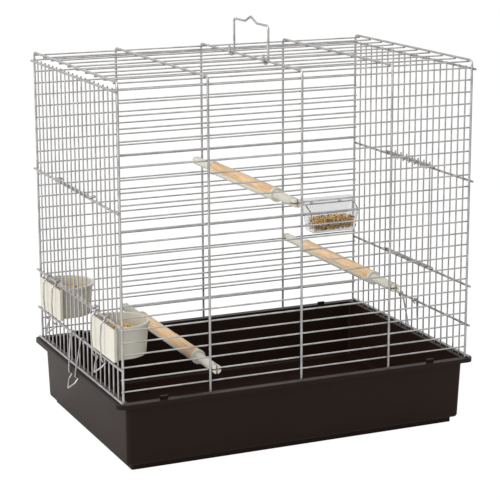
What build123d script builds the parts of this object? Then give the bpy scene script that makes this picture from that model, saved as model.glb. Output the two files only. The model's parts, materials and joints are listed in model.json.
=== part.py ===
from build123d import *
from math import cos, radians, sin
import os

# Wire bird cage on a plastic tray, in millimetres.
# The origin is the middle of the underside, on the surface the tray stands on.
# X runs along the cage, Y from the front (negative) to the rear, Z up.

# Wire sizes
frame_wire_d = 2.4
mesh_wire_d = 1.6
rail_wire_d = 2.0
handle_wire_d = 2.4

# Cage grid
row_pitch = 12.0
row_count = 25
end_pitch = 12.6
end_gaps = 20
top_pitch = 26.3
top_gaps = 9
end_bay = 89.4
mid_bay = 97.35
hoop_corner_r = 4.5
bar_overhang = 3.0
wire_end_trim = 1.0

# Clearances
running_gap = 0.3
pivot_gap = 0.25
seat_gap = 0.1
rub_gap = 0.15

# Tray
foot_height = 6.0
foot_width = 3.0
foot_inset = 6.0
tub_height = 64.8
tub_wall = 2.2
tub_floor = 2.4
tub_draft_x = 1.5
tub_draft_y = 3.5
tub_corner_r = 16.0
tub_bottom_r = 3.0
wall_outside_hoop_y = 0.9
wall_inside_bar = 5.15
flange_past_bar = 5.35
flange_past_hoop = 6.4
flange_thickness = 2.2
lip_height = 4.3
lip_thickness = 1.8
lip_round = 0.9
lug_x = 145.5
lug_width = 8.0
lug_height = 3.0

# Heights above the rim that the cage stands on
first_row_lift = 10.7
hoop_rise = 306.4
top_bar_drop = 8.8
mid_bar_lift = 184.2
sill_bar_lift = 75.2
latch_bar_lift = 33.9

# End doors
door_first_gap = 6
door_gaps = 8
door_tick = 3.0
door_curl_angle = 230.0

# Carrying handle
handle_span = 84.6
handle_height = 34.4
handle_corner_r = 3.0
handle_tail = 6.5
hump_width = 29.0
hump_rise = 5.6

# Bowl clips and tray latches
eye_angle = 215.0
eye_tail = 3.0
bail_half_width = 14.6
bail_hook_half_width = 12.4
bail_bow = 1.4
latch_half_width = 16.0
latch_hook_half_width = 9.5
tab_half_width = 9.0
tab_drop = 6.0
tab_point_drop = 13.0
tab_lean = 4.5
hook_reach = 3.6
wire_bend_r = 1.2

# Seed bowls
bowl_first_gap = 1
bowl_gaps = 6
plate_thickness = 5.2
plate_lap = 2.2
plate_corner_r = 3.0
bowl_drop = 5.0
cup_depth = 49.0
cup_wall = 1.6
cup_floor = 1.8
cup_taper = 2.6
cup_lip = 1.5
cup_lip_height = 2.6
bowl_seed_height = 15.0

# Clear feeder
feeder_x = 150.0
feeder_width = 64.0
feeder_depth = 24.0
feeder_wall = 1.5
feeder_back_height = 37.0
feeder_front_height = 23.0
feeder_side_taper = 6.0
feeder_bottom_r = 7.0
feeder_row = 9
feeder_drop = 29.5
feeder_rim = 2.0
feeder_hook_spacing = 35.0
feeder_hook_width = 3.0
feeder_hook_thickness = 1.2
feeder_hook_tail = 4.0
feeder_seed_height = 15.0

# Perches
perch_r = 6.8
collar_r = 7.2
collar_length = 3.5
tube_r = 4.5
spigot_r = 3.2
wood_rear_y = 76.0
wood_front_y = -79.0
carrier_wall = 1.8
tip_past_wire = 5.0
slot_depth = 8.0
perch_places = {"low": (-1, 1, 1), "middle": (1, 1, 6), "upper": (0, -1, 14)}

# Worked out from the sizes above
frame_r = frame_wire_d / 2
mesh_r = mesh_wire_d / 2
rail_r = rail_wire_d / 2
handle_r = handle_wire_d / 2
hoop_y = end_pitch * end_gaps / 2
hoop_x = end_bay + mid_bay
hoop_places = (-hoop_x, -mid_bay, 0.0, mid_bay, hoop_x)
bar_x = hoop_x + 2 * frame_r
panel_x = bar_x - frame_r - mesh_r
row_y = hoop_y - frame_r - mesh_r
rim_z = foot_height + tub_height
hoop_top_z = rim_z + hoop_rise
top_wire_z = hoop_top_z - frame_r - mesh_r
bottom_bar_z = rim_z + frame_r
top_bar_z = hoop_top_z - top_bar_drop
mid_bar_z = rim_z + mid_bar_lift
sill_bar_z = rim_z + sill_bar_lift
latch_bar_z = rim_z + latch_bar_lift
wall_x = bar_x - wall_inside_bar
wall_y = hoop_y + wall_outside_hoop_y
flange_x = bar_x + flange_past_bar
flange_y = hoop_y + flange_past_hoop
eye_r = frame_r + pivot_gap + mesh_r
plate_back_x = bar_x - frame_r + rub_gap + seat_gap


def row_z(row):
    return rim_z + first_row_lift + row * row_pitch


def gap_y(index):
    return hoop_y - index * end_pitch


def save(shape, name):
    export_step(shape, f"parts/{name}.step")


def group(solids):
    return Compound(children=list(solids))


def rod(start, end, radius):
    """A straight wire between two points."""
    start, end = Vector(start), Vector(end)
    length = (end - start).length
    seat = Plane(origin=start, z_dir=end - start)
    return seat * Cylinder(radius, length, align=(Align.CENTER, Align.CENTER, Align.MIN))


def swept(path, radius):
    """A round wire swept along a path of tangent lines and arcs."""
    start = Plane(origin=path @ 0, z_dir=path % 0)
    return sweep(start * Circle(radius), path=path)


def box_between(low, high):
    """A box from its low corner to its high corner."""
    size = [b - a for a, b in zip(low, high)]
    return Pos(*low) * Box(*size, align=(Align.MIN, Align.MIN, Align.MIN))


def section_y(sketch, low, high):
    """Extrude an X-Z sketch from y = low to y = high."""
    plane = Plane(origin=(0, high, 0), x_dir=(1, 0, 0), z_dir=(0, -1, 0))
    return extrude(plane * sketch, amount=high - low)


def other_end(shape):
    """The same piece turned round for the right end of the cage."""
    return Rot(0, 0, 180) * shape


# Tray
def tub_section(z, inset):
    """Outline of the tub wall at a height, set in by a wall."""
    share = (rim_z - z) / tub_height
    half_x = wall_x - tub_draft_x * share - inset
    half_y = wall_y - tub_draft_y * share - inset
    return Pos(0, 0, z) * RectangleRounded(2 * half_x, 2 * half_y, tub_corner_r - inset)


def base_tray():
    tub = loft([tub_section(foot_height, 0), tub_section(rim_z, 0)])
    tub = fillet(tub.faces().sort_by(Axis.Z)[0].edges(), tub_bottom_r)
    floor_z = foot_height + tub_floor
    hollow = loft([tub_section(floor_z, tub_wall), tub_section(rim_z + tub_wall, tub_wall)])
    rim_r = tub_corner_r + flange_past_hoop - wall_outside_hoop_y
    rim_face = Pos(0, 0, rim_z) * RectangleRounded(2 * flange_x, 2 * flange_y, rim_r)
    rim = extrude(rim_face, amount=-lip_height)
    rim = fillet(rim.faces().sort_by(Axis.Z)[-1].edges(), lip_round)
    under_face = Pos(0, 0, rim_z - flange_thickness) * RectangleRounded(
        2 * (flange_x - lip_thickness), 2 * (flange_y - lip_thickness), rim_r - lip_thickness)
    rim -= extrude(under_face, amount=-lip_height)
    tub = tub + rim - hollow
    foot_x = wall_x - tub_draft_x - foot_inset
    foot_y = wall_y - tub_draft_y - foot_inset
    foot_r = tub_corner_r - foot_inset
    ring = RectangleRounded(2 * foot_x, 2 * foot_y, foot_r)
    ring -= RectangleRounded(2 * (foot_x - foot_width), 2 * (foot_y - foot_width), foot_r - foot_width)
    tub += extrude(ring, amount=foot_height)
    for x in (-lug_x, lug_x):
        for low in (wall_y - tub_wall, -wall_y):
            corner = (x - lug_width / 2, low, rim_z - flange_thickness)
            far = (x + lug_width / 2, low + tub_wall, rim_z + lug_height)
            tub += box_between(corner, far)
    return tub


# Welded wire frame
def hoop(x):
    """Bent wire that runs up the front, over the top and down the rear."""
    points = [(x, -hoop_y, rim_z), (x, -hoop_y, hoop_top_z), (x, hoop_y, hoop_top_z), (x, hoop_y, rim_z)]
    return swept(FilletPolyline(*points, radius=hoop_corner_r), frame_r)


def long_wire(y, z):
    reach = hoop_x + frame_r - seat_gap
    return rod((-reach, y, z), (reach, y, z), mesh_r)


def end_bar(z):
    reach = hoop_y + bar_overhang
    return rod((-bar_x, -reach, z), (-bar_x, reach, z), frame_r)


def cut_by(index, first, gaps):
    return first < index < first + gaps


def end_wires(with_bowls):
    """Upright wires of one end panel, left out where the door and bowls go through."""
    trim = frame_r + wire_end_trim
    solids = []
    for index in range(1, end_gaps):
        spans = [[rim_z + seat_gap, top_bar_z + trim]]
        if with_bowls:
            front = end_gaps - bowl_first_gap - bowl_gaps
            if cut_by(index, bowl_first_gap, bowl_gaps) or cut_by(index, front, bowl_gaps):
                spans = [[rim_z + seat_gap, latch_bar_z + frame_r], [sill_bar_z - trim, top_bar_z + trim]]
        if cut_by(index, door_first_gap, door_gaps):
            top = spans[-1][1]
            spans[-1][1] = sill_bar_z + trim
            spans.append([mid_bar_z - trim, top])
        for low, high in spans:
            solids.append(rod((-panel_x, gap_y(index), low), (-panel_x, gap_y(index), high), mesh_r))
    return group(solids)


# Sliding end door, with curls round two upright guide wires
door_wire_x = bar_x + frame_r + running_gap + mesh_r
door_rail_x = door_wire_x - mesh_r - rail_r
door_curl_r = door_rail_x - panel_x
door_low_z = sill_bar_z + frame_r + rail_r + seat_gap
door_high_z = mid_bar_z + frame_r + rail_r + seat_gap


def door_rail(z):
    """Cross wire of the door, ending in a curl round each guide wire."""
    rear, front = gap_y(door_first_gap), gap_y(door_first_gap + door_gaps)
    curl_rear = CenterArc((-panel_x, rear, z), door_curl_r, 180 - door_curl_angle, door_curl_angle)
    straight = Line((-door_rail_x, rear, z), (-door_rail_x, front, z))
    curl_front = CenterArc((-panel_x, front, z), door_curl_r, 180, door_curl_angle)
    return swept(Wire([curl_rear.edge(), straight.edge(), curl_front.edge()]), rail_r)


def door_wires():
    low, high = door_low_z - rail_r, door_high_z + door_tick
    indices = range(door_first_gap + 1, door_first_gap + door_gaps)
    return group(rod((-door_wire_x, gap_y(i), low), (-door_wire_x, gap_y(i), high), mesh_r) for i in indices)


# Carrying handle, hooked under the centre hoop
def handle():
    """Bent wire with a humped grip and a hook round the hoop at each foot."""
    eye = frame_r + running_gap + handle_r
    half = handle_span / 2
    grip_z = hoop_top_z + handle_height
    corners = [(eye, half, hoop_top_z), (eye, half, grip_z), (eye, -half, grip_z), (eye, -half, hoop_top_z)]
    hump = [(eye, hump_width / 2, grip_z), (eye, 0, grip_z + hump_rise), (eye, -hump_width / 2, grip_z)]
    legs = FilletPolyline(*corners[:2], *hump, *corners[2:], radius=handle_corner_r)
    rear_eye = eye_under(eye, half, 180, 180)
    front_eye = eye_under(eye, -half, 0, -180)
    tail = Vector(0, 0, handle_tail)
    rear_tail = Line(Vector(-eye, half, hoop_top_z) + tail, (-eye, half, hoop_top_z))
    front_tail = Line((-eye, -half, hoop_top_z), Vector(-eye, -half, hoop_top_z) + tail)
    edges = [rear_tail.edge(), rear_eye, *legs.edges(), front_eye, front_tail.edge()]
    return swept(Wire(edges), handle_r)


def eye_under(radius, y, start, size):
    """Half turn under the hoop, in the X-Z plane at y."""
    plane = Plane(origin=(0, y, hoop_top_z), x_dir=(1, 0, 0), z_dir=(0, -1, 0))
    return (plane * CenterArc((0, 0), radius, start, size)).edge()


# Bowl clips and tray latches, which share one form
def wire_clip(pivot_z, middle_y, half_width, leg, hook_half_width):
    """Bent wire on two eyes round a bar, with hooks and a pointed finger tab.

    leg lists (distance outside the bar, height above it) down to the hook's inner end.
    """
    def place(out, y, up):
        return Vector(-bar_x - out, middle_y + y, pivot_z + up)

    def width_at(up):
        share = up / leg[-1][1]
        return half_width + (hook_half_width - half_width) * share

    def eye(side):
        plane = Plane(origin=place(0, side * half_width, 0), x_dir=(-1, 0, 0), z_dir=(0, 1, 0))
        arc = (plane * CenterArc((0, 0), eye_r, 0, eye_angle)).edge()
        turn = radians(eye_angle)
        end_out, end_up = eye_r * cos(turn), eye_r * sin(turn)
        tail_out, tail_up = end_out - eye_tail * sin(turn), end_up + eye_tail * cos(turn)
        tail = Line(place(end_out, side * half_width, end_up), place(tail_out, side * half_width, tail_up))
        return arc, tail.edge()

    def side_points(side):
        points = [place(eye_r, side * half_width, 0)]
        points += [place(out, side * width_at(up), up) for out, up in leg]
        out, up = leg[-1]
        points.append(place(out + tab_lean, side * tab_half_width, up - tab_drop))
        return points

    hook_out, hook_up = leg[-1]
    tab_point = place(hook_out + 2 * tab_lean, 0, hook_up - tab_point_drop)
    points = side_points(1) + [tab_point] + side_points(-1)[::-1]
    body = FilletPolyline(*points, radius=wire_bend_r)
    arc_rear, tail_rear = eye(1)
    arc_front, tail_front = eye(-1)
    edges = [tail_rear, arc_rear, *body.edges(), arc_front, tail_front]
    return swept(Wire(edges), mesh_r)


def bail_leg():
    """Leg of a bowl clip: out over the bowl's plate, bowed, then in under the latch bar."""
    plate_out = plate_back_x + plate_thickness - bar_x
    clear = plate_out + mesh_r + running_gap
    drop = sill_bar_z - latch_bar_z
    hook_up = -(drop + frame_r + mesh_r + running_gap)
    return [
        (eye_r, -wire_bend_r),
        (clear + mesh_r / 2, -bowl_drop),
        (clear + bail_bow, -drop / 2),
        (clear + mesh_r / 2, -drop + frame_r),
        (clear - frame_r, hook_up),
        (0.0, hook_up),
    ]


def latch_leg():
    """Leg of a tray latch: down outside the rim, then in under its lip."""
    clear = flange_past_bar + mesh_r + running_gap
    drop = latch_bar_z - rim_z
    lip_radius = (flange_past_bar ** 2 + (drop + lip_height) ** 2) ** 0.5
    hook_out = flange_past_bar + mesh_r - hook_reach
    reach = lip_radius + mesh_r + running_gap
    hook_up = -(reach ** 2 - hook_out ** 2) ** 0.5
    return [
        (eye_r, -wire_bend_r),
        (clear, -drop + frame_r),
        (clear + mesh_r / 4, -drop - lip_height),
        (clear - mesh_r / 4, hook_up),
        (hook_out, hook_up),
    ]


# Seed bowls
def bowl_middle(side):
    return side * gap_y(bowl_first_gap + bowl_gaps / 2)


def cup_plan(half_width, depth):
    """D-shaped plan, flat at x = 0 and round at the far end."""
    straight = depth - half_width
    outline = [
        Line((0, -half_width), (straight, -half_width)),
        CenterArc((straight, 0), half_width, -90, 180),
        Line((straight, half_width), (0, half_width)),
        Line((0, half_width), (0, -half_width)),
    ]
    return make_face(outline)


cup_half_width = bowl_gaps * end_pitch / 2 - mesh_r - running_gap - cup_lip
bowl_top_z = sill_bar_z - bowl_drop
bowl_low_z = latch_bar_z + frame_r + seat_gap
bowl_height = bowl_top_z - bowl_low_z


def cup_solid(inset, low, high):
    """Tapered D-shaped block of the cup between two heights, set in by a wall."""
    def level(z):
        shrink = inset + cup_taper * (1 - z / bowl_height)
        plan = cup_plan(cup_half_width - shrink, cup_depth - cup_lip - shrink)
        return Pos(0, 0, z) * plan
    return loft([level(low), level(high)])


def bowl_place(side):
    return Pos(-plate_back_x, bowl_middle(side), bowl_low_z)


def seed_bowl(side):
    cup = cup_solid(0, 0, bowl_height)
    lip = Pos(0, 0, bowl_height) * cup_plan(cup_half_width + cup_lip, cup_depth)
    cup += extrude(lip, amount=-cup_lip_height)
    cup -= Pos(0, 0, cup_floor) * cup_solid(cup_wall, 0, bowl_height)
    plate_half = bowl_gaps * end_pitch / 2 + plate_lap
    plate = box_between((-plate_thickness, -plate_half, 0), (0, plate_half, bowl_height))
    plate = fillet(plate.edges().filter_by(Axis.X), plate_corner_r)
    return bowl_place(side) * (cup + plate)


def bowl_seed(side):
    heap = cup_solid(cup_wall + running_gap, seat_gap, bowl_seed_height)
    heap -= box_between((-running_gap, -cup_depth, -bowl_height), (running_gap, cup_depth, bowl_height))
    return bowl_place(side) * Pos(0, 0, cup_floor) * heap


# Clear feeder that hooks on a rear wire
feeder_back_y = row_y - mesh_r - running_gap
feeder_low_z = row_z(feeder_row) - feeder_drop


def feeder_profile(inset):
    """Side profile: upright back, rounded front, open top that slopes to the front rim."""
    back, front = feeder_back_y - inset, feeder_back_y - feeder_depth + inset
    low = feeder_low_z + inset
    points = [
        (back, low),
        (back, feeder_low_z + feeder_back_height + inset),
        (front, feeder_low_z + feeder_front_height + inset),
        (front, low),
    ]
    face = make_face(Polyline(*points, close=True))
    corner = face.vertices().sort_by(Axis.X)[:2].sort_by(Axis.Y)[0]
    return fillet(corner, feeder_bottom_r)


def feeder_block(inset):
    """The feeder's outer form, or its hollow when set in by the wall."""
    half_top = feeder_width / 2 - inset
    half_low = half_top - feeder_side_taper
    high = feeder_low_z + feeder_back_height + 2 * inset
    low = feeder_low_z
    side_plane = Plane(origin=(feeder_x - half_top, 0, 0), x_dir=(0, 1, 0), z_dir=(1, 0, 0))
    block = extrude(side_plane * feeder_profile(inset), amount=2 * half_top)
    corners = [
        (feeder_x - half_low, low),
        (feeder_x + half_low, low),
        (feeder_x + half_top, high),
        (feeder_x - half_top, high),
    ]
    front_view = make_face(Polyline(*corners, close=True))
    return block & section_y(front_view, feeder_back_y - feeder_depth, feeder_back_y)


def feeder_box():
    box = feeder_block(0) - feeder_block(feeder_wall)
    front = feeder_back_y - feeder_depth
    rim_low = feeder_low_z + feeder_front_height - feeder_rim
    half = feeder_width / 2 - feeder_side_taper
    box += box_between((feeder_x - half, front - feeder_rim, rim_low),
                       (feeder_x + half, front, rim_low + feeder_wall))
    wire_z = row_z(feeder_row)
    hook_low = wire_z + mesh_r + seat_gap
    hook_far = row_y + mesh_r + running_gap
    for side in (-1, 1):
        middle = feeder_x + side * feeder_hook_spacing / 2
        left, right = middle - feeder_hook_width / 2, middle + feeder_hook_width / 2
        box += box_between((left, feeder_back_y - feeder_wall, hook_low),
                           (right, hook_far + feeder_hook_thickness, hook_low + feeder_hook_thickness))
        box += box_between((left, hook_far, wire_z - feeder_hook_tail),
                           (right, hook_far + feeder_hook_thickness, hook_low + feeder_hook_thickness))
    return box


def feeder_seed():
    heap = feeder_block(feeder_wall + running_gap)
    low = feeder_low_z
    high = feeder_low_z + feeder_wall + feeder_seed_height
    keep = box_between((feeder_x - feeder_width, feeder_back_y - feeder_depth, low),
                       (feeder_x + feeder_width, feeder_back_y, high))
    return heap & keep


# Perches
def perch_centre(place):
    """Beside one hoop, at the height of a row of long wires."""
    bay, side, row = place
    return bay * mid_bay + side * (frame_r + tube_r + rub_gap), row_z(row)


def half_disc(radius, top):
    disc = Circle(radius)
    cut_side = -1 if top else 1
    return disc - Pos(0, cut_side * radius) * Rectangle(3 * radius, 2 * radius)


def tip_slots(end_y):
    """Crossed slots in a perch tip that close over a cage wire."""
    slot = mesh_wire_d + 2 * rub_gap
    side = -1 if end_y < 0 else 1
    middle = end_y - side * slot_depth / 2
    upright = Pos(0, middle, 0) * Box(slot, slot_depth, 3 * tube_r)
    level = Pos(0, middle, 0) * Box(3 * tube_r, slot_depth, slot)
    return upright + level


tip_y = row_y + tip_past_wire


def perch_wood():
    return section_y(half_disc(perch_r, True), wood_front_y, wood_rear_y)


def perch_carrier():
    """Half-round channel under the wood, with end collars and the rear tube."""
    channel = half_disc(perch_r, False) - half_disc(perch_r - carrier_wall, False)
    body = section_y(channel, wood_front_y, wood_rear_y)
    body += section_y(Circle(collar_r), wood_rear_y, wood_rear_y + collar_length)
    front_collar = Circle(collar_r) - Circle(spigot_r + rub_gap)
    body += section_y(front_collar, wood_front_y - collar_length, wood_front_y)
    body += section_y(Circle(tube_r), wood_rear_y + collar_length, tip_y)
    return body - tip_slots(tip_y)


def perch_sleeve():
    """Front tube with a spigot in the carrier's collar."""
    face_y = wood_front_y - collar_length
    body = section_y(Circle(tube_r), -tip_y, face_y)
    body += section_y(Circle(spigot_r), face_y, wood_front_y - seat_gap)
    return body - tip_slots(-tip_y)


def build_all():
    os.makedirs("parts", exist_ok=True)
    save(base_tray(), "base_tray")

    hoop_names = ("left_end_hoop", "left_middle_hoop", "centre_hoop", "right_middle_hoop", "right_end_hoop")
    for name, x in zip(hoop_names, hoop_places):
        save(hoop(x), name)
    save(group(long_wire(-row_y, row_z(row)) for row in range(row_count)), "front_wires")
    save(group(long_wire(row_y, row_z(row)) for row in range(row_count)), "rear_wires")
    top_places = [(index - top_gaps / 2) * top_pitch for index in range(top_gaps + 1)]
    save(group(long_wire(y, top_wire_z) for y in top_places), "top_wires")

    save(end_wires(True), "left_end_wires")
    save(other_end(end_wires(False)), "right_end_wires")
    bars = {"top_bar": top_bar_z, "middle_bar": mid_bar_z, "sill_bar": sill_bar_z,
            "latch_bar": latch_bar_z, "bottom_bar": bottom_bar_z}
    for name, z in bars.items():
        save(end_bar(z), f"left_{name}")
        save(other_end(end_bar(z)), f"right_{name}")

    door_rails = group([door_rail(door_low_z), door_rail(door_high_z)])
    save(door_rails, "left_door_rails")
    save(other_end(door_rails), "right_door_rails")
    save(door_wires(), "left_door_wires")
    save(other_end(door_wires()), "right_door_wires")
    save(handle(), "carrying_handle")

    latch = wire_clip(latch_bar_z, 0, latch_half_width, latch_leg(), latch_hook_half_width)
    save(latch, "left_tray_latch")
    save(other_end(latch), "right_tray_latch")
    for side, name in ((-1, "front"), (1, "rear")):
        save(wire_clip(sill_bar_z, bowl_middle(side), bail_half_width, bail_leg(), bail_hook_half_width),
             f"{name}_bowl_clip")
        save(seed_bowl(side), f"{name}_bowl")
        save(bowl_seed(side), f"{name}_bowl_seed")
    save(feeder_box(), "feeder_box")
    save(feeder_seed(), "feeder_seed")

    for name, place in perch_places.items():
        x, z = perch_centre(place)
        save(Pos(x, 0, z) * perch_wood(), f"{name}_perch_wood")
        save(Pos(x, 0, z) * perch_carrier(), f"{name}_perch_carrier")
        save(Pos(x, 0, z) * perch_sleeve(), f"{name}_perch_sleeve")


build_all()
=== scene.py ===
# %% [markdown]
# # A wire bird cage on a plastic tray
# The construction of this cage is finished: every wire, bar and hook has its real size and place.
# This lesson dresses it. Wires keep their modelled shape and get a plated finish, while the moulded,
# turned and loose things (tray, bowls, feeder, perches, seed) are made again as smoother meshes.
# We start by loading the construction.

# %% Load the construction
import bmesh
import bpy
import json
import math
import random
from mathutils import Matrix, Vector, noise


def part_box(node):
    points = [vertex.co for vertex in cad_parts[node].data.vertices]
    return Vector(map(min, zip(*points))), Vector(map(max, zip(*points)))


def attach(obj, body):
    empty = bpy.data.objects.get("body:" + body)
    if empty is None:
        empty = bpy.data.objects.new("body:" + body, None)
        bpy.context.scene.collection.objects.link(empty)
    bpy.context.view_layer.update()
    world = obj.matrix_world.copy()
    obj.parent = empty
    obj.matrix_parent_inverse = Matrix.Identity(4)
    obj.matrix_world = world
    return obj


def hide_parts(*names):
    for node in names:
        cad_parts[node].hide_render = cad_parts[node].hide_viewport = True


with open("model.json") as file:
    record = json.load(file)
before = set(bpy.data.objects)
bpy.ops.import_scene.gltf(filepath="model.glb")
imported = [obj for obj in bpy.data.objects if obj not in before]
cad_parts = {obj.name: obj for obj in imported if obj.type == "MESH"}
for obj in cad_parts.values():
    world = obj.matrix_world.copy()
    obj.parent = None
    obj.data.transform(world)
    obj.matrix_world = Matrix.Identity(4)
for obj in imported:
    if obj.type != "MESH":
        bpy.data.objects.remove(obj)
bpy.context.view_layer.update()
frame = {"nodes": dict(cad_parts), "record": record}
nodes = frame["nodes"]
MM = 0.001

# %% [markdown]
# ## The camera
# The camera stands in front of the cage's left corner, a little above it, as the photographer did. Its
# place, turn and focal length were found by matching wire crossings of the cage with the picture, so
# they are written here as plain values. The lens is long, so the uprights look nearly parallel.

# %% Set up the camera
CAMERA_PLACE = Vector((-0.7330, -1.6528, 0.5983))
CAMERA_YAW, CAMERA_PITCH, CAMERA_ROLL = 23.944, 13.160, 0.200
FOCAL_PIXELS, PICTURE_PIXELS, SENSOR_WIDTH = 1787.6, 500, 36.0


def make_camera():
    data = bpy.data.cameras.new("studio_camera")
    data.sensor_width = SENSOR_WIDTH
    data.lens = FOCAL_PIXELS / PICTURE_PIXELS * SENSOR_WIDTH
    camera = bpy.data.objects.new("studio_camera", data)
    turn = Matrix.Rotation(math.radians(-CAMERA_YAW), 4, "Z")
    tilt = Matrix.Rotation(math.radians(90 - CAMERA_PITCH), 4, "X")
    roll = Matrix.Rotation(math.radians(-CAMERA_ROLL), 4, "Z")
    camera.matrix_world = Matrix.Translation(CAMERA_PLACE) @ turn @ tilt @ roll
    bpy.context.scene.collection.objects.link(camera)
    bpy.context.scene.camera = camera
    print("camera lens in mm:", round(data.lens, 1))


make_camera()

# %% [markdown]
# ## A way to write finishes
# Most finishes below are built from the same parts: a Principled shader, a noise pattern in the object's
# own coordinates, and a colour ramp between two or more shades. The pattern sits still in the material, so
# it looks the same from every side. Each helper makes one of those parts, and the last one gives a finish
# to all construction nodes of one slot.

# %% Helpers for finishes


def new_node(tree, kind, **settings):
    """Add a shader node and set its properties or, where it has an input of that name, its input."""
    node = tree.nodes.new(kind)
    for key, value in settings.items():
        if key in node.inputs:
            node.inputs[key].default_value = value
        else:
            setattr(node, key, value)
    return node


def start_finish(name, **settings):
    """A material with a Principled shader; settings go straight on the shader's own inputs."""
    finish = bpy.data.materials.new(name)
    finish.use_nodes = True
    tree = finish.node_tree
    shader = tree.nodes["Principled BSDF"]
    for key, value in settings.items():
        shader.inputs[key.replace("_", " ")].default_value = value
    return finish, tree, shader


def object_noise(tree, scale, detail, stretch=(1, 1, 1), **settings):
    """A noise pattern on the object's own coordinates, stretched by a Mapping node."""
    place = new_node(tree, "ShaderNodeTexCoord")
    mapping = new_node(tree, "ShaderNodeMapping", Scale=stretch)
    tree.links.new(place.outputs["Object"], mapping.inputs["Vector"])
    pattern = new_node(tree, "ShaderNodeTexNoise", Scale=scale, Detail=detail, **settings)
    tree.links.new(mapping.outputs[0], pattern.inputs["Vector"])
    return pattern


def ramp(tree, source, *stops):
    """Turn a value into colour. Each stop is (position, (red, green, blue))."""
    node = new_node(tree, "ShaderNodeValToRGB")
    elements = node.color_ramp.elements
    while len(elements) < len(stops):
        elements.new(0.5)
    for element, (position, colour) in zip(elements, stops):
        element.position = position
        element.color = (*colour, 1)
    tree.links.new(source, node.inputs["Fac"])
    return node.outputs["Color"]


def spread_roughness(tree, shader, source, low, high):
    span = new_node(tree, "ShaderNodeMapRange")
    span.inputs["To Min"].default_value = low
    span.inputs["To Max"].default_value = high
    tree.links.new(source, span.inputs["Value"])
    tree.links.new(span.outputs["Result"], shader.inputs["Roughness"])


def add_bump(tree, shader, source, strength, depth):
    bump = new_node(tree, "ShaderNodeBump", Strength=strength, Distance=depth)
    tree.links.new(source, bump.inputs["Height"])
    tree.links.new(bump.outputs["Normal"], shader.inputs["Normal"])


def dress_nodes(slot, finish):
    """Give a finish to every construction node of a slot."""
    names = [part["node"] for part in frame["record"]["subparts"] if part["material_slot"] == slot]
    for name in names:
        nodes[name].data.materials.clear()
        nodes[name].data.materials.append(finish)
    print(finish.name, "on", len(names), "nodes")


# %% [markdown]
# ## Light and floor
# The cage was pictured in a white studio, with a large soft light on its left. One big area lamp on the
# left, one weak lamp above and a pale sky do the same here. The sky is plain white to the camera, in
# reflections and through clear plastic, but gives the object less light than that, so pale plastic
# doesn't burn out. The floor shows the camera mostly plain white too, and lets a part of the cage's soft
# shadow through.

# %% Light the studio
SKY_LIGHT = 0.60
FLOOR_GLOW, FLOOR_WHITE = 0.90, 1.07
FLOOR_RADIUS, FLOOR_SIDES = 8.0, 64
FLOOR_COLOUR, FLOOR_ROUGHNESS = (0.86, 0.86, 0.86, 1), 0.9


def sum_of(tree, *sockets):
    """Add up a few yes-or-no sockets, kept to one at most."""
    total = sockets[0]
    for socket in sockets[1:]:
        add = new_node(tree, "ShaderNodeMath", operation="ADD", use_clamp=True)
        tree.links.new(total, add.inputs[0])
        tree.links.new(socket, add.inputs[1])
        total = add.outputs[0]
    return total


def light_sky():
    world = bpy.data.worlds.new("white_studio")
    world.use_nodes = True
    tree = world.node_tree
    back = tree.nodes["Background"]
    back.inputs["Color"].default_value = (1, 1, 1, 1)
    path = new_node(tree, "ShaderNodeLightPath")
    seen = sum_of(tree, path.outputs["Is Camera Ray"], path.outputs["Is Glossy Ray"],
                  path.outputs["Is Transmission Ray"])
    level = new_node(tree, "ShaderNodeMapRange")
    level.inputs["To Min"].default_value = SKY_LIGHT
    tree.links.new(seen, level.inputs["Value"])
    tree.links.new(level.outputs["Result"], back.inputs["Strength"])
    bpy.context.scene.world = world


def add_lamp(name, place, aim, size, watts):
    data = bpy.data.lights.new(name, "AREA")
    data.shape, data.size, data.energy = "SQUARE", size, watts
    lamp = bpy.data.objects.new(name, data)
    lamp.location = place
    lamp.rotation_euler = (Vector(aim) - Vector(place)).to_track_quat("-Z", "Y").to_euler()
    bpy.context.scene.collection.objects.link(lamp)


def floor_finish():
    finish, tree, shader = start_finish("studio_floor", Base_Color=FLOOR_COLOUR, Roughness=FLOOR_ROUGHNESS)
    glow = new_node(tree, "ShaderNodeEmission", Color=(1, 1, 1, 1), Strength=FLOOR_WHITE)
    path = new_node(tree, "ShaderNodeLightPath")
    share = new_node(tree, "ShaderNodeMath", operation="MULTIPLY")
    share.inputs[1].default_value = FLOOR_GLOW
    tree.links.new(path.outputs["Is Camera Ray"], share.inputs[0])
    mix = new_node(tree, "ShaderNodeMixShader")
    tree.links.new(share.outputs[0], mix.inputs[0])
    tree.links.new(shader.outputs[0], mix.inputs[1])
    tree.links.new(glow.outputs[0], mix.inputs[2])
    tree.links.new(mix.outputs[0], tree.nodes["Material Output"].inputs["Surface"])
    return finish


def lay_floor():
    bm = bmesh.new()
    bmesh.ops.create_circle(bm, cap_ends=True, segments=FLOOR_SIDES, radius=FLOOR_RADIUS)
    mesh = bpy.data.meshes.new("studio_floor")
    bm.to_mesh(mesh)
    bm.free()
    floor = bpy.data.objects.new("studio_floor", mesh)
    bpy.context.scene.collection.objects.link(floor)
    mesh.materials.append(floor_finish())


light_sky()
add_lamp("left_softbox", place=(-2.5, -0.5, 1.2), aim=(0, 0, 0.15), size=1.6, watts=50)
add_lamp("top_softbox", place=(0.3, -0.5, 2.6), aim=(0, 0, 0.2), size=1.8, watts=16)
lay_floor()
bpy.context.scene.view_settings.view_transform = "Standard"

# %% [markdown]
# ## Plated wire
# Cage wire is drawn steel with a thin plated coat. It is smooth but never mirror-like: drawing leaves fine
# lines and the plating bath leaves cloudy patches. A metallic shader with a mid-grey colour, cloudy
# roughness and a very fine grain gives that satin look.

# %% Plated wire finish


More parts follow.
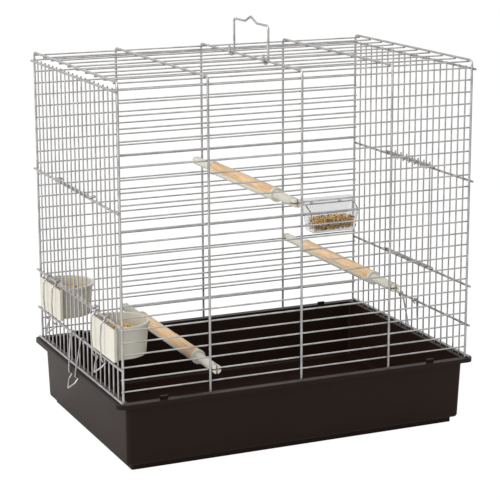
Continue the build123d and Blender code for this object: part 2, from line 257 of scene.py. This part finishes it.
def plated_wire():
    finish, tree, shader = start_finish("plated_wire", Metallic=0.75)
    clouds = object_noise(tree, 90.0, detail=4.0)
    colour = ramp(tree, clouds.outputs["Fac"], (0.30, (0.32, 0.315, 0.31)), (0.52, (0.43, 0.42, 0.415)),
                  (0.75, (0.52, 0.51, 0.50)))
    tree.links.new(colour, shader.inputs["Base Color"])
    spread_roughness(tree, shader, clouds.outputs["Fac"], 0.24, 0.46)
    grain = object_noise(tree, 1400.0, detail=2.0)
    add_bump(tree, shader, grain.outputs["Fac"], 0.25, 0.08 * MM)
    return finish


wire_finish = plated_wire()
dress_nodes("wire", wire_finish)

# %% [markdown]
# ## Moulded plastics
# Three plastics are used. The tray is a dark brown one with a soft gloss that picks up light at its edges.
# The bowls are ivory and shinier. The perch ends are an off-white that is duller, with faint flow marks
# along the moulding. All three are Principled shaders with slow colour changes too weak to name but
# enough to stop the surface from looking like paint.

# %% Moulded plastic finishes


def moulded_plastic(name, dark, pale, gloss, roughness, mottle, grain, grain_depth, stretch=(1, 1, 1)):
    """mottle and grain are the scales of the slow colour changes and of the fine surface grain."""
    finish, tree, shader = start_finish(name, Specular_IOR_Level=gloss)
    slow = object_noise(tree, mottle, detail=5.0, stretch=stretch)
    colour = ramp(tree, slow.outputs["Fac"], (0.32, dark), (0.68, pale))
    tree.links.new(colour, shader.inputs["Base Color"])
    spread_roughness(tree, shader, slow.outputs["Fac"], roughness - 0.05, roughness + 0.07)
    fine = object_noise(tree, grain, detail=2.0)
    add_bump(tree, shader, fine.outputs["Fac"], 0.3, grain_depth)
    return finish


tray_plastic = moulded_plastic(
    "tray_plastic", dark=(0.0145, 0.0072, 0.0050), pale=(0.0185, 0.0094, 0.0066),
    gloss=0.11, roughness=0.38, mottle=7.0, grain=900.0, grain_depth=0.12 * MM)
bowl_plastic = moulded_plastic(
    "bowl_plastic", dark=(0.57, 0.545, 0.455), pale=(0.63, 0.605, 0.51),
    gloss=0.45, roughness=0.30, mottle=22.0, grain=500.0, grain_depth=0.03 * MM)
perch_plastic = moulded_plastic(
    "perch_plastic", dark=(0.60, 0.58, 0.49), pale=(0.70, 0.68, 0.60),
    gloss=0.45, roughness=0.42, mottle=30.0, grain=700.0, grain_depth=0.05 * MM, stretch=(1, 0.2, 1))
print("plastics ready")

# %% [markdown]
# ## Clear plastic
# The feeder is clear polystyrene. What shows is not its colour but its edges, where light bends, and the
# faint waves of a thin moulding. A transmitting shader on walls with real thickness does this by itself.

# %% Clear plastic finish


def clear_plastic():
    finish, tree, shader = start_finish("clear_plastic", Transmission_Weight=1.0, IOR=1.46,
                                        Base_Color=(0.97, 0.98, 0.985, 1))
    waves = object_noise(tree, 120.0, detail=1.0)
    spread_roughness(tree, shader, waves.outputs["Fac"], 0.02, 0.07)
    add_bump(tree, shader, waves.outputs["Fac"], 0.15, 0.2 * MM)
    return finish


feeder_plastic = clear_plastic()
print("clear plastic ready")

# %% [markdown]
# ## Bare wood
# The perches are sanded softwood, left bare so that claws can grip. The grain runs along the perch, so the
# pattern is stretched along Y by the Mapping node: wide soft bands for the yearly rings, and short dark
# streaks for the pores. Each perch lies in its own place, so each shows a different part of the grain.

# %% Bare wood finish


def bare_wood():
    finish, tree, shader = start_finish("bare_wood")
    rings = object_noise(tree, 210.0, detail=4.0, stretch=(1.0, 0.045, 0.6), Distortion=0.6)
    bands = ramp(tree, rings.outputs["Fac"], (0.30, (0.52, 0.315, 0.165)), (0.45, (0.70, 0.46, 0.255)),
                 (0.60, (0.77, 0.54, 0.315)), (0.78, (0.83, 0.62, 0.40)))
    pores = object_noise(tree, 1500.0, detail=2.0, stretch=(1.0, 0.03, 1.0))
    streaks = ramp(tree, pores.outputs["Fac"], (0.34, (0.55, 0.46, 0.38)), (0.46, (1.0, 1.0, 1.0)))
    both = new_node(tree, "ShaderNodeMix", data_type="RGBA", blend_type="MULTIPLY")
    both.inputs["Factor"].default_value = 0.7
    tree.links.new(bands, both.inputs["A"])
    tree.links.new(streaks, both.inputs["B"])
    tree.links.new(both.outputs["Result"], shader.inputs["Base Color"])
    spread_roughness(tree, shader, rings.outputs["Fac"], 0.50, 0.72)
    add_bump(tree, shader, pores.outputs["Fac"], 0.35, 0.15 * MM)
    return finish


wood_finish = bare_wood()
print("bare wood ready")

# %% [markdown]
# ## Seed
# A finch mix has pale canary seed, yellow and red millet and a few dark grains. Every grain is one colour,
# so the colour can't come from a pattern in space, which would cut through grains. Each grain's vertices
# carry a number instead, chosen once per grain, and a ramp turns that number into the grain's shade.

# %% Seed finish
SEED_KIND = "seed_kind"


def seed_mix():
    finish, tree, shader = start_finish("seed_mix", Roughness=0.55)
    kind = new_node(tree, "ShaderNodeAttribute", attribute_name=SEED_KIND)
    colour = ramp(tree, kind.outputs["Fac"],
                  (0.00, (0.78, 0.40, 0.07)), (0.36, (0.86, 0.52, 0.12)), (0.58, (0.80, 0.64, 0.34)),
                  (0.72, (0.42, 0.17, 0.04)), (0.84, (0.13, 0.075, 0.03)), (0.95, (0.055, 0.04, 0.03)))
    tree.links.new(colour, shader.inputs["Base Color"])
    husk = object_noise(tree, 1800.0, detail=2.0)
    add_bump(tree, shader, husk.outputs["Fac"], 0.4, 0.1 * MM)
    return finish


seed_finish = seed_mix()
print("seed mix ready")

# %% [markdown]
# ## Lofting with rings
# Most moulded things here are a stack of closed loops joined by skins. First comes a plain straight tube:
# circles from create_circle, one unit apart, each skinned to the next by bridge_loops. Then each
# circle is pushed to its real place by a rule. Pushing its quarters apart makes a rounded rectangle,
# and flattening one half makes a D. A whole tray is a short list of rules, from the floor over the rim.
# The flat caps at the ends have many corners, so at the end they are poked into even fans of triangles.
# Two smaller helpers add a closed block between two corners and round off chosen edges of a mesh.

# %% Rings and skins
RING_SIDES, MOST_CORNERS = 64, 12
BEVEL_ANGLE, SHARP_ANGLE = math.radians(32), math.radians(40)


def loft(bm, rules):
    """A tube with one ring of vertices per rule, closed at both ends, with each ring put in its place."""
    rings = []
    for level in range(len(rules)):
        turned = Matrix.Translation((0, 0, level)) @ Matrix.Rotation(math.pi / RING_SIDES, 4, "Z")
        made = bmesh.ops.create_circle(bm, cap_ends=False, segments=RING_SIDES, radius=1.0, matrix=turned)
        rings.append(made["verts"])
    loops = [list({edge for vert in verts for edge in vert.link_edges}) for verts in rings]
    for here, there in zip(loops, loops[1:]):
        bmesh.ops.bridge_loops(bm, edges=here + there)
    for end_loop in (loops[0], loops[-1]):
        bmesh.ops.edgeloop_fill(bm, edges=end_loop)
    for verts, rule in zip(rings, rules):
        for vert in verts:
            vert.co = rule(vert.co)
    return loops


def rounded_box_ring(half_x, half_y, radius, z, centre=(0.0, 0.0)):
    """Rule for a rounded rectangle, level at height z."""
    def place(point):
        x = math.copysign(half_x - radius, point.x) + radius * point.x
        y = math.copysign(half_y - radius, point.y) + radius * point.y
        return Vector((centre[0] + x, centre[1] + y, z))
    return place


def add_block(bm, low, high):
    """A closed block between two corners."""
    low, high = Vector(low), Vector(high)
    verts = bmesh.ops.create_cube(bm, size=1.0)["verts"]
    bmesh.ops.scale(bm, verts=verts, vec=high - low)
    bmesh.ops.translate(bm, verts=verts, vec=(low + high) / 2)
    return verts


def round_off(bm, edges, radius, steps, clamp=False):
    """Round chosen edges for good, in the mesh itself."""
    bmesh.ops.bevel(bm, geom=edges, offset=radius, offset_type="OFFSET", segments=steps, profile=0.5,
                    affect="EDGES", material=-1, clamp_overlap=clamp)


def finish_piece(bm, name, body, finish, replaced=(), bevel=0.0, steps=3):
    """Close a bmesh into an object with smooth shading, rounded edges, a finish and a body to ride on."""
    wide_caps = [face for face in bm.faces if len(face.verts) > MOST_CORNERS]
    bmesh.ops.poke(bm, faces=wide_caps)
    bmesh.ops.recalc_face_normals(bm, faces=bm.faces[:])
    mesh = bpy.data.meshes.new(name)
    bm.to_mesh(mesh)
    bm.free()
    mesh.materials.append(finish)
    mesh.polygons.foreach_set("use_smooth", [True] * len(mesh.polygons))
    piece = bpy.data.objects.new(name, mesh)
    bpy.context.scene.collection.objects.link(piece)
    if bevel:
        rounding = piece.modifiers.new("rounded_edges", "BEVEL")
        rounding.width, rounding.segments = bevel, steps
        rounding.limit_method, rounding.angle_limit = "ANGLE", BEVEL_ANGLE
        rounding.harden_normals = True
    else:
        mesh.set_sharp_from_angle(angle=SHARP_ANGLE)
    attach(piece, body)
    if replaced:
        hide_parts(*replaced)
    print(name, "has", len(mesh.polygons), "faces before rounding")
    return piece


# %% [markdown]
# ## The tray
# The tray is one moulding: a deep tub with sloping walls, a flat rim that the cage stands on, a lip turned
# down round the rim that the latches hook under, and a ridge under the floor to stand on. The rim is
# wider at the two ends than at the front. Its rings run from the floor up the inner wall, over the rim,
# down and back under the lip, down the outer wall and round the ridge. The rings of the floor's edge and
# of the underside's edge are rounded off, and four small lugs on the rim keep the cage in place.

# %% Mould the tray
tray_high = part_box("base_tray")[1]
LUG_HEIGHT, LUG_WIDTH, LUG_X = 3.0 * MM, 8.0 * MM, 145.5 * MM
RIM_Z = tray_high.z - LUG_HEIGHT
WALL_X, WALL_Y = 184.0 * MM, 126.9 * MM
SLOPE_X, SLOPE_Y = 1.5 * MM, 3.5 * MM
WALL, FLOOR_Z, FOOT_Z = 2.2 * MM, 8.4 * MM, 6.0 * MM
CORNER, RIM_CORNER, LEAST_CORNER = 5.0 * MM, 8.0 * MM, 2.0 * MM
LIP, LIP_WALL, RIM_WALL = 4.3 * MM, 1.8 * MM, 2.2 * MM
RIDGE_IN, RIDGE_WIDTH = 6.0 * MM, 3.0 * MM
FLOOR_RING, FLOOR_ROUND, FOOT_RING, FOOT_ROUND = 0, 4.0 * MM, 7, 3.0 * MM


def tub_ring(z, inset):
    share = (RIM_Z - z) / (RIM_Z - FOOT_Z)
    half_x = WALL_X - SLOPE_X * share - inset
    half_y = WALL_Y - SLOPE_Y * share - inset
    return rounded_box_ring(half_x, half_y, max(CORNER - inset, LEAST_CORNER), z)


def rim_ring(inset, z):
    return rounded_box_ring(tray_high.x - inset, tray_high.y - inset, RIM_CORNER - inset, z)


def ridge_ring(inset, z):
    inset += RIDGE_IN
    return rounded_box_ring(WALL_X - SLOPE_X - inset, WALL_Y - SLOPE_Y - inset, LEAST_CORNER, z)


def mould_tray():
    bm = bmesh.new()
    rings = loft(bm, [
        tub_ring(FLOOR_Z, WALL),
        tub_ring(RIM_Z, WALL),
        rim_ring(0, RIM_Z),
        rim_ring(0, RIM_Z - LIP),
        rim_ring(LIP_WALL, RIM_Z - LIP),
        rim_ring(LIP_WALL, RIM_Z - RIM_WALL),
        tub_ring(RIM_Z - RIM_WALL, 0),
        tub_ring(FOOT_Z, 0),
        ridge_ring(0, FOOT_Z),
        ridge_ring(0, 0),
        ridge_ring(RIDGE_WIDTH, 0),
        ridge_ring(RIDGE_WIDTH, FOOT_Z),
    ])
    round_off(bm, rings[FLOOR_RING], FLOOR_ROUND, 5)
    round_off(bm, rings[FOOT_RING], FOOT_ROUND, 5)
    for y in (WALL / 2 - WALL_Y, WALL_Y - WALL / 2):
        for x in (-LUG_X, LUG_X):
            add_block(bm, (x - LUG_WIDTH / 2, y - WALL / 2, RIM_Z - RIM_WALL / 2),
                      (x + LUG_WIDTH / 2, y + WALL / 2, RIM_Z + LUG_HEIGHT))
    return finish_piece(bm, "moulded_tray", "root", tray_plastic, ["base_tray"],
                        bevel=0.6 * MM)


mould_tray()

# %% [markdown]
# ## The seed bowls
# A bowl is a D seen from above: a round cup toward the bird and a flat plate on the outside, wide enough
# to lap over the wires beside its opening. The cup narrows a little toward its floor and ends in a thick
# lip. The rings flatten one half of a circle to get the D, and the plate is a slab of its own, with small
# round corners, that closes the cup's flat side.

# %% Mould the bowls
BOWL_HEIGHT, BOWL_MIDDLE = 32.5 * MM, 81.9 * MM
CUP_WALL, CUP_FLOOR, CUP_TAPER = 1.6 * MM, 1.8 * MM, 2.6 * MM
CUP_LIP, CUP_LIP_HEIGHT = 1.5 * MM, 2.6 * MM
CUP_HALF, CUP_DEPTH = 29.3 * MM, 44.2 * MM
PLATE_THICK, PLATE_HALF, PLATE_CORNER = 3.0 * MM, 33.7 * MM, 2.0 * MM
HOLLOW_START, BUILT_PLATE = 0.3 * MM, 5.2 * MM
bowl_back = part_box("front_bowl")[0].x + BUILT_PLATE
bowl_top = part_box("front_bowl")[1].z


def d_ring(front_x, middle_y, half_width, depth, flat, z):
    """Rule for a D: round toward +X, flat at front_x + flat."""
    def place(point):
        if point.x < 0:
            return Vector((front_x + flat, middle_y + half_width * point.y, z))
        straight = depth - half_width
        return Vector((front_x + straight + half_width * point.x, middle_y + half_width * point.y, z))
    return place


def mould_bowl(name, middle_y):
    floor_z = bowl_top - BOWL_HEIGHT

    def wall_ring(z, inset, flat):
        shrink = inset + CUP_TAPER * (1 - z / BOWL_HEIGHT)
        depth = CUP_DEPTH - CUP_LIP - shrink
        return d_ring(bowl_back, middle_y, CUP_HALF - shrink, depth, flat, floor_z + z)

    def lip_ring(z):
        return d_ring(bowl_back, middle_y, CUP_HALF + CUP_LIP, CUP_DEPTH, -PLATE_THICK / 2, floor_z + z)

    bm = bmesh.new()
    loft(bm, [
        wall_ring(CUP_FLOOR, CUP_WALL, HOLLOW_START),
        wall_ring(BOWL_HEIGHT, CUP_WALL, HOLLOW_START),
        lip_ring(BOWL_HEIGHT),
        lip_ring(BOWL_HEIGHT - CUP_LIP_HEIGHT),
        wall_ring(BOWL_HEIGHT - CUP_LIP_HEIGHT, 0, -PLATE_THICK / 2),
        wall_ring(0, 0, -PLATE_THICK / 2),
    ])
    plate = add_block(bm, (bowl_back - PLATE_THICK, middle_y - PLATE_HALF, floor_z),
                      (bowl_back, middle_y + PLATE_HALF, bowl_top))
    corners = [edge for edge in {e for v in plate for e in v.link_edges}
               if abs(edge.verts[0].co.x - edge.verts[1].co.x) > PLATE_THICK / 2]
    round_off(bm, corners, PLATE_CORNER, 5)
    return finish_piece(bm, "moulded_" + name, "root", bowl_plastic, [name],
                        bevel=0.5 * MM, steps=4)


mould_bowl("front_bowl", -BOWL_MIDDLE)
mould_bowl("rear_bowl", BOWL_MIDDLE)

# %% [markdown]
# A bowl is as wide as five gaps between the end's uprights, which is one gap less than its opening in the
# construction. So the upright that stands beside each bowl is run on, from the latch bar to the sill bar.

# %% Run the uprights on
WIRE_RADIUS, UPRIGHT_Y = 0.8 * MM, 50.4 * MM


def run_upright(name, y):
    wires_low, wires_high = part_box("left_end_wires")
    centre = ((wires_low.x + wires_high.x) / 2, y)
    ends = (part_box("left_latch_bar")[0].z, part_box("left_sill_bar")[1].z)
    bm = bmesh.new()
    loft(bm, [rounded_box_ring(WIRE_RADIUS, WIRE_RADIUS, WIRE_RADIUS, z, centre) for z in ends])
    return finish_piece(bm, name, "root", wire_finish)


run_upright("front_bowl_upright", -UPRIGHT_Y)
run_upright("rear_bowl_upright", UPRIGHT_Y)

# %% [markdown]
# ## Grains of seed
# Loose seed looks right only when it is made of grains: the outline of a heap, the shadows between grains
# and the mix of colours can't be painted on. A grain is a small sphere stretched to a spindle, with few
# faces because there are many of them. Each gets its own size, turn and kind, all from one fixed
# random order, so the heap is the same every time.

# %% Pour the seed
GRAIN_LONG, GRAIN_WIDE, GRAIN_FLAT = 1.9 * MM, 0.95 * MM, 0.85
GRAIN_TILT, GRAIN_LEAST, GRAIN_MOST = 0.45, 0.75, 1.2
CLUMP_SIZE, CLUMP_SHARE = 9.0 * MM, 0.35
KIND_START, KIND_SPAN = 0.05, 0.9
HEAP_HEIGHT, HEAP_SLOPE, HEAP_LUMP, HEAP_SWELL = 23.5 * MM, 0.18, 17.0 * MM, 3.0 * MM
HEAP_GRAINS, HEAP_LAYER = 1700, 0.4


def make_grain(place, dice):
    """One spindle of seed at a place, turned at random, mostly lying down, as a small mesh."""
    turn = Matrix.Rotation(dice.uniform(0, math.tau), 4, "Z")
    turn = turn @ Matrix.Rotation(dice.gauss(0, GRAIN_TILT), 4, "Y")
    size = dice.uniform(GRAIN_LEAST, GRAIN_MOST)
    shape = Matrix.Diagonal((GRAIN_LONG * size, GRAIN_WIDE * size, GRAIN_WIDE * size * GRAIN_FLAT, 1))
    clump = noise.noise(Vector(place) / CLUMP_SIZE) * CLUMP_SHARE
    kind = min(max(dice.random() * KIND_SPAN + clump + KIND_START, 0.0), 1.0)
    bm = bmesh.new()
    layer = bm.verts.layers.float.new(SEED_KIND)
    made = bmesh.ops.create_uvsphere(bm, u_segments=6, v_segments=4, radius=1.0,
                                     matrix=Matrix.Translation(place) @ turn @ shape)["verts"]
    for vert in made:
        vert[layer] = kind
    mesh = bpy.data.meshes.new("grain")
    bm.to_mesh(mesh)
    bm.free()
    return mesh


def pour_seed(name, inside, count, seed_number, body, replaced):
    """Scatter grains in a space. inside(dice) draws one place in it."""
    dice = random.Random(seed_number)
    bm = bmesh.new()
    for _ in range(count):
        grain = make_grain(inside(dice), dice)
        bm.from_mesh(grain)
        bpy.data.meshes.remove(grain)
    return finish_piece(bm, name, body, seed_finish, [replaced])


def heap_in_bowl(middle_y):
    """Places in the upper layer of a heap in a bowl's cup, which is highest in the middle."""
    half = CUP_HALF - CUP_WALL - CUP_TAPER - GRAIN_LONG
    straight = CUP_DEPTH - CUP_HALF - CUP_LIP

    def draw(dice):
        while True:
            x = dice.uniform(HOLLOW_START + GRAIN_LONG, straight + half)
            y = dice.uniform(-half, half)
            out = math.hypot(max(x - straight, 0.0), y) / half
            if out < 1.0:
                break
        lumps = noise.noise(Vector((x, y + middle_y, 0)) / HEAP_LUMP) * HEAP_SWELL
        top = HEAP_HEIGHT * (1 - HEAP_SLOPE * out * out) + lumps
        level = top * (1 - HEAP_LAYER * dice.random() ** 2)
        return bowl_back + x, middle_y + y, bowl_top - BOWL_HEIGHT + CUP_FLOOR + level
    return draw


pour_seed("front_seed_heap", heap_in_bowl(-BOWL_MIDDLE), HEAP_GRAINS, 11, "root", "front_bowl_seed")
pour_seed("rear_seed_heap", heap_in_bowl(BOWL_MIDDLE), HEAP_GRAINS, 12, "root", "rear_bowl_seed")

# %% [markdown]
# ## The clear feeder
# The feeder is a small clear bin, narrower at the bottom, cut low at the front so that a bird can reach in.
# Two hooks on its back hold it on one wire. It starts as a cube whose bottom is drawn in and whose front
# edge is lowered. Its top is removed, its lower front edge and upright corners are rounded, and only then
# do the walls get their thickness, so that every wall is even.

# %% Mould the feeder
BIN_WALL, BIN_DEPTH, BIN_TAPER = 1.5 * MM, 24.0 * MM, 6.0 * MM
BIN_BACK, BIN_FRONT = 37.0 * MM, 23.0 * MM
BIN_ROUND, BIN_CORNER, BIN_RIM = 7.0 * MM, 2.5 * MM, 2.0 * MM
HOOK_SPACING, HOOK_WIDTH, HOOK_THICK = 35.0 * MM, 3.0 * MM, 1.2 * MM
HOOK_REACH, HOOK_TAIL, HOOK_SEAT = 3.2 * MM, 5.2 * MM, 0.9 * MM
bin_low, bin_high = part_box("feeder_box")
BIN_BACK_Y = bin_low.y + BIN_RIM + BIN_DEPTH
BIN_MIDDLE_X = (bin_low.x + bin_high.x) / 2
WIRE_PITCH, FEEDER_ROW, CORNER_BEND = 12.0 * MM, 9, 0.9
WIRE_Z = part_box("rear_wires")[0].z + WIRE_RADIUS + FEEDER_ROW * WIRE_PITCH


def bin_shell(bm):
    """Outer faces of the bin, open at the top."""
    middle_y, middle_z = BIN_BACK_Y - BIN_DEPTH / 2, bin_low.z + BIN_BACK / 2
    verts = add_block(bm, (bin_low.x, BIN_BACK_Y - BIN_DEPTH, bin_low.z),
                      (bin_high.x, BIN_BACK_Y, bin_low.z + BIN_BACK))
    for vert in verts:
        at_front, at_top = vert.co.y < middle_y, vert.co.z > middle_z
        if at_top and at_front:
            vert.co.z = bin_low.z + BIN_FRONT
        share = 1 - (vert.co.z - bin_low.z) / BIN_BACK
        vert.co.x -= math.copysign(BIN_TAPER * share, vert.co.x - BIN_MIDDLE_X)
    bmesh.ops.delete(bm, geom=[max(bm.faces, key=lambda face: face.calc_center_median().z)],
                     context="FACES_ONLY")
    front = [e for e in bm.edges if all(v.co.y < middle_y for v in e.verts)]
    bottom = [e for e in front if all(v.co.z < bin_low.z + BIN_WALL for v in e.verts)]
    round_off(bm, bottom, BIN_ROUND, 6)
    upright = [e for e in bm.edges if len(e.link_faces) == 2 and e.calc_face_angle() > CORNER_BEND]
    round_off(bm, upright, BIN_CORNER, 3, clamp=True)


def mould_feeder():
    bm = bmesh.new()
    bin_shell(bm)
    bmesh.ops.recalc_face_normals(bm, faces=bm.faces[:])
    bmesh.ops.solidify(bm, geom=bm.faces[:], thickness=BIN_WALL)
    hook_low = WIRE_Z + HOOK_SEAT
    far = BIN_BACK_Y + HOOK_REACH
    for side in (-1, 1):
        middle = BIN_MIDDLE_X + side * HOOK_SPACING / 2
        left, right = middle - HOOK_WIDTH / 2, middle + HOOK_WIDTH / 2
        add_block(bm, (left, BIN_BACK_Y - BIN_WALL / 2, hook_low), (right, far, hook_low + HOOK_THICK))
        add_block(bm, (left, far - HOOK_THICK, WIRE_Z - HOOK_TAIL), (right, far, hook_low + HOOK_THICK))
    return finish_piece(bm, "moulded_feeder", "feeder", feeder_plastic, ["feeder_box"],
                        bevel=0.3 * MM, steps=2)


mould_feeder()

# %% [markdown]
# The seed in the feeder is seen through its walls, so it has to fill the bin right up to them. The grains
# are drawn from the whole space under the fill line, with the bin's slope taken off at each height.

# %% Fill the feeder
FEEDER_GRAINS = 1700


def fill_of_feeder(node):
    low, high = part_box(node)
    middle_x = (low.x + high.x) / 2

    def draw(dice):
        while True:
            y, z = dice.uniform(low.y, high.y), dice.uniform(low.z, high.z)
            half = (high.x - low.x) / 2 - BIN_TAPER * (high.z - z) / BIN_BACK - GRAIN_LONG
            from_curve = math.hypot(max(low.y + BIN_ROUND - y, 0), max(low.z + BIN_ROUND - z, 0))
            if from_curve < BIN_ROUND - GRAIN_WIDE and y < high.y - GRAIN_WIDE:
                return middle_x + dice.uniform(-half, half), y, z
    return draw


pour_seed("feeder_seed_fill", fill_of_feeder("feeder_seed"), FEEDER_GRAINS, 23, "feeder", "feeder_seed")

# %% [markdown]
# ## The perches
# The wooden half of a perch is a dowel split along its length, sanded so that its edges are soft, and
# pressed into a half-round plastic carrier. It is lofted from four half-round rings along Y, with the
# outer two slightly smaller, as sanding leaves them.

# %% Turn the wooden halves
WOOD_ROUND, SAME_PLACE = 0.7 * MM, 0.01 * MM


def wood_ring(centre_x, base_z, radius, y):
    """Rule for a half disc across the perch: round above, flat below."""
    def place(point):
        return Vector((centre_x + radius * point.x, y, base_z + radius * max(point.y, 0.0)))
    return place


def turn_wood(name):
    low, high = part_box(name)
    centre_x, radius = (low.x + high.x) / 2, (high.x - low.x) / 2
    stations = [(low.y, radius - WOOD_ROUND), (low.y + WOOD_ROUND, radius),
                (high.y - WOOD_ROUND, radius), (high.y, radius - WOOD_ROUND)]
    bm = bmesh.new()
    loft(bm, [wood_ring(centre_x, low.z, size, y) for y, size in stations])
    bmesh.ops.remove_doubles(bm, verts=bm.verts[:], dist=SAME_PLACE)
    return finish_piece(bm, "turned_" + name, "root", wood_finish, [name], bevel=0.5 * MM)


for level in ("low", "middle", "upper"):
    turn_wood(level + "_perch_wood")

# %% [markdown]
# The plastic carriers and sleeves are already modelled with their collars, tubes and crossed slots, and
# only need their finish.

# %% Finish the perch plastic
dress_nodes("perch_plastic", perch_plastic)
